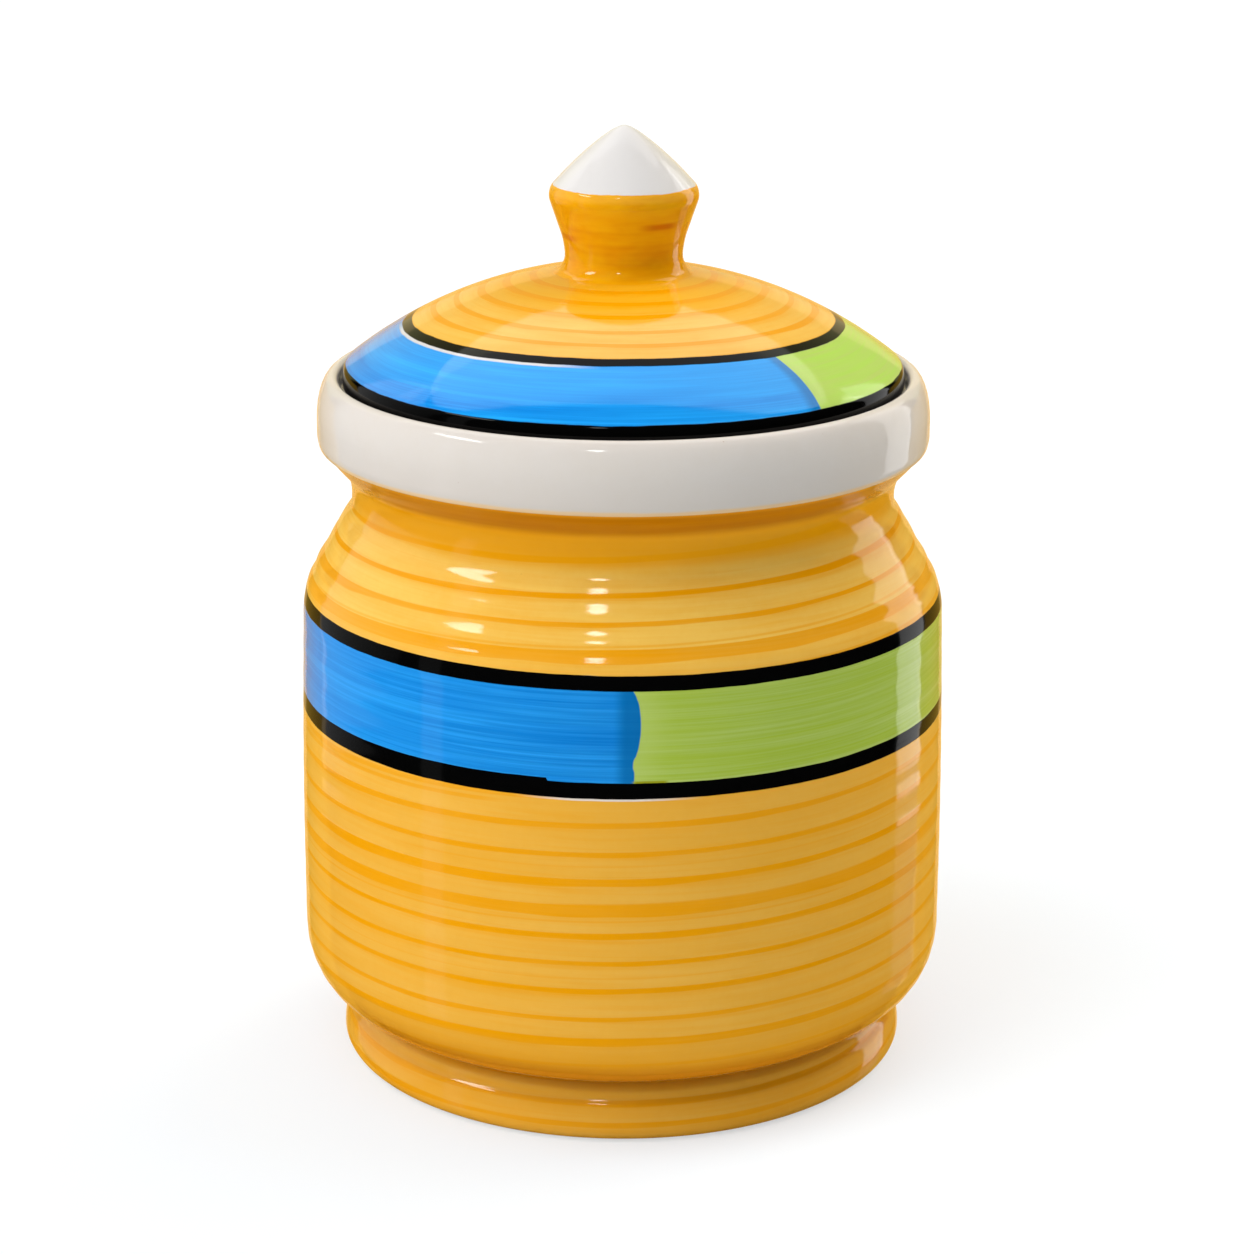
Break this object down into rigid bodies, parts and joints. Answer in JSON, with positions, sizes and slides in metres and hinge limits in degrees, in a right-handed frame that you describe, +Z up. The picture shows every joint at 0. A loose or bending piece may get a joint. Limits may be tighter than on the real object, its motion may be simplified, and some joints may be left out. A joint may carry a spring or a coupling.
{
  "type": "ceramic pickle jar",
  "caption": "Stout glazed ceramic pickle jar on a flared foot, with a thick rim collar and a sunken domed lid with a pointed knob.",
  "frame": {"origin": "centre of the jar's foot, on the surface that it stands on", "axes": "+Z up along the jar's axis of turning, towards the lid's knob; -Y towards the viewer of the picture, +X to that viewer's right"},
  "size_m": [0.13, 0.13, 0.1882],
  "materials": {
    "yellow_glaze": "glossy yellow ochre glaze with orange brush rings and a blue and green band between black lines",
    "foot_glaze": "glossy yellow ochre glaze, bare clay on the tread",
    "white_glaze": "glossy warm white glaze",
    "blue_glaze": "glossy painted glaze: yellow rings, blue and green fields, black lines",
    "flange_glaze": "thin warm white glaze",
    "knob_glaze": "glossy yellow ochre glaze with a white tip"
  },
  "bodies": {
    "jar": {"jar_body": "yellow_glaze", "foot_ring": "foot_glaze", "rim_collar": "white_glaze"},
    "lid": {"lid_dome": "blue_glaze", "lid_flange": "flange_glaze", "lid_knob": "knob_glaze"}
  },
  "joints": [
    {"name": "lid_lift", "type": "slide", "parent": "jar", "child": "lid", "axis": [0, 0, 1], "range_m": [0, 0.06]}
  ]
}
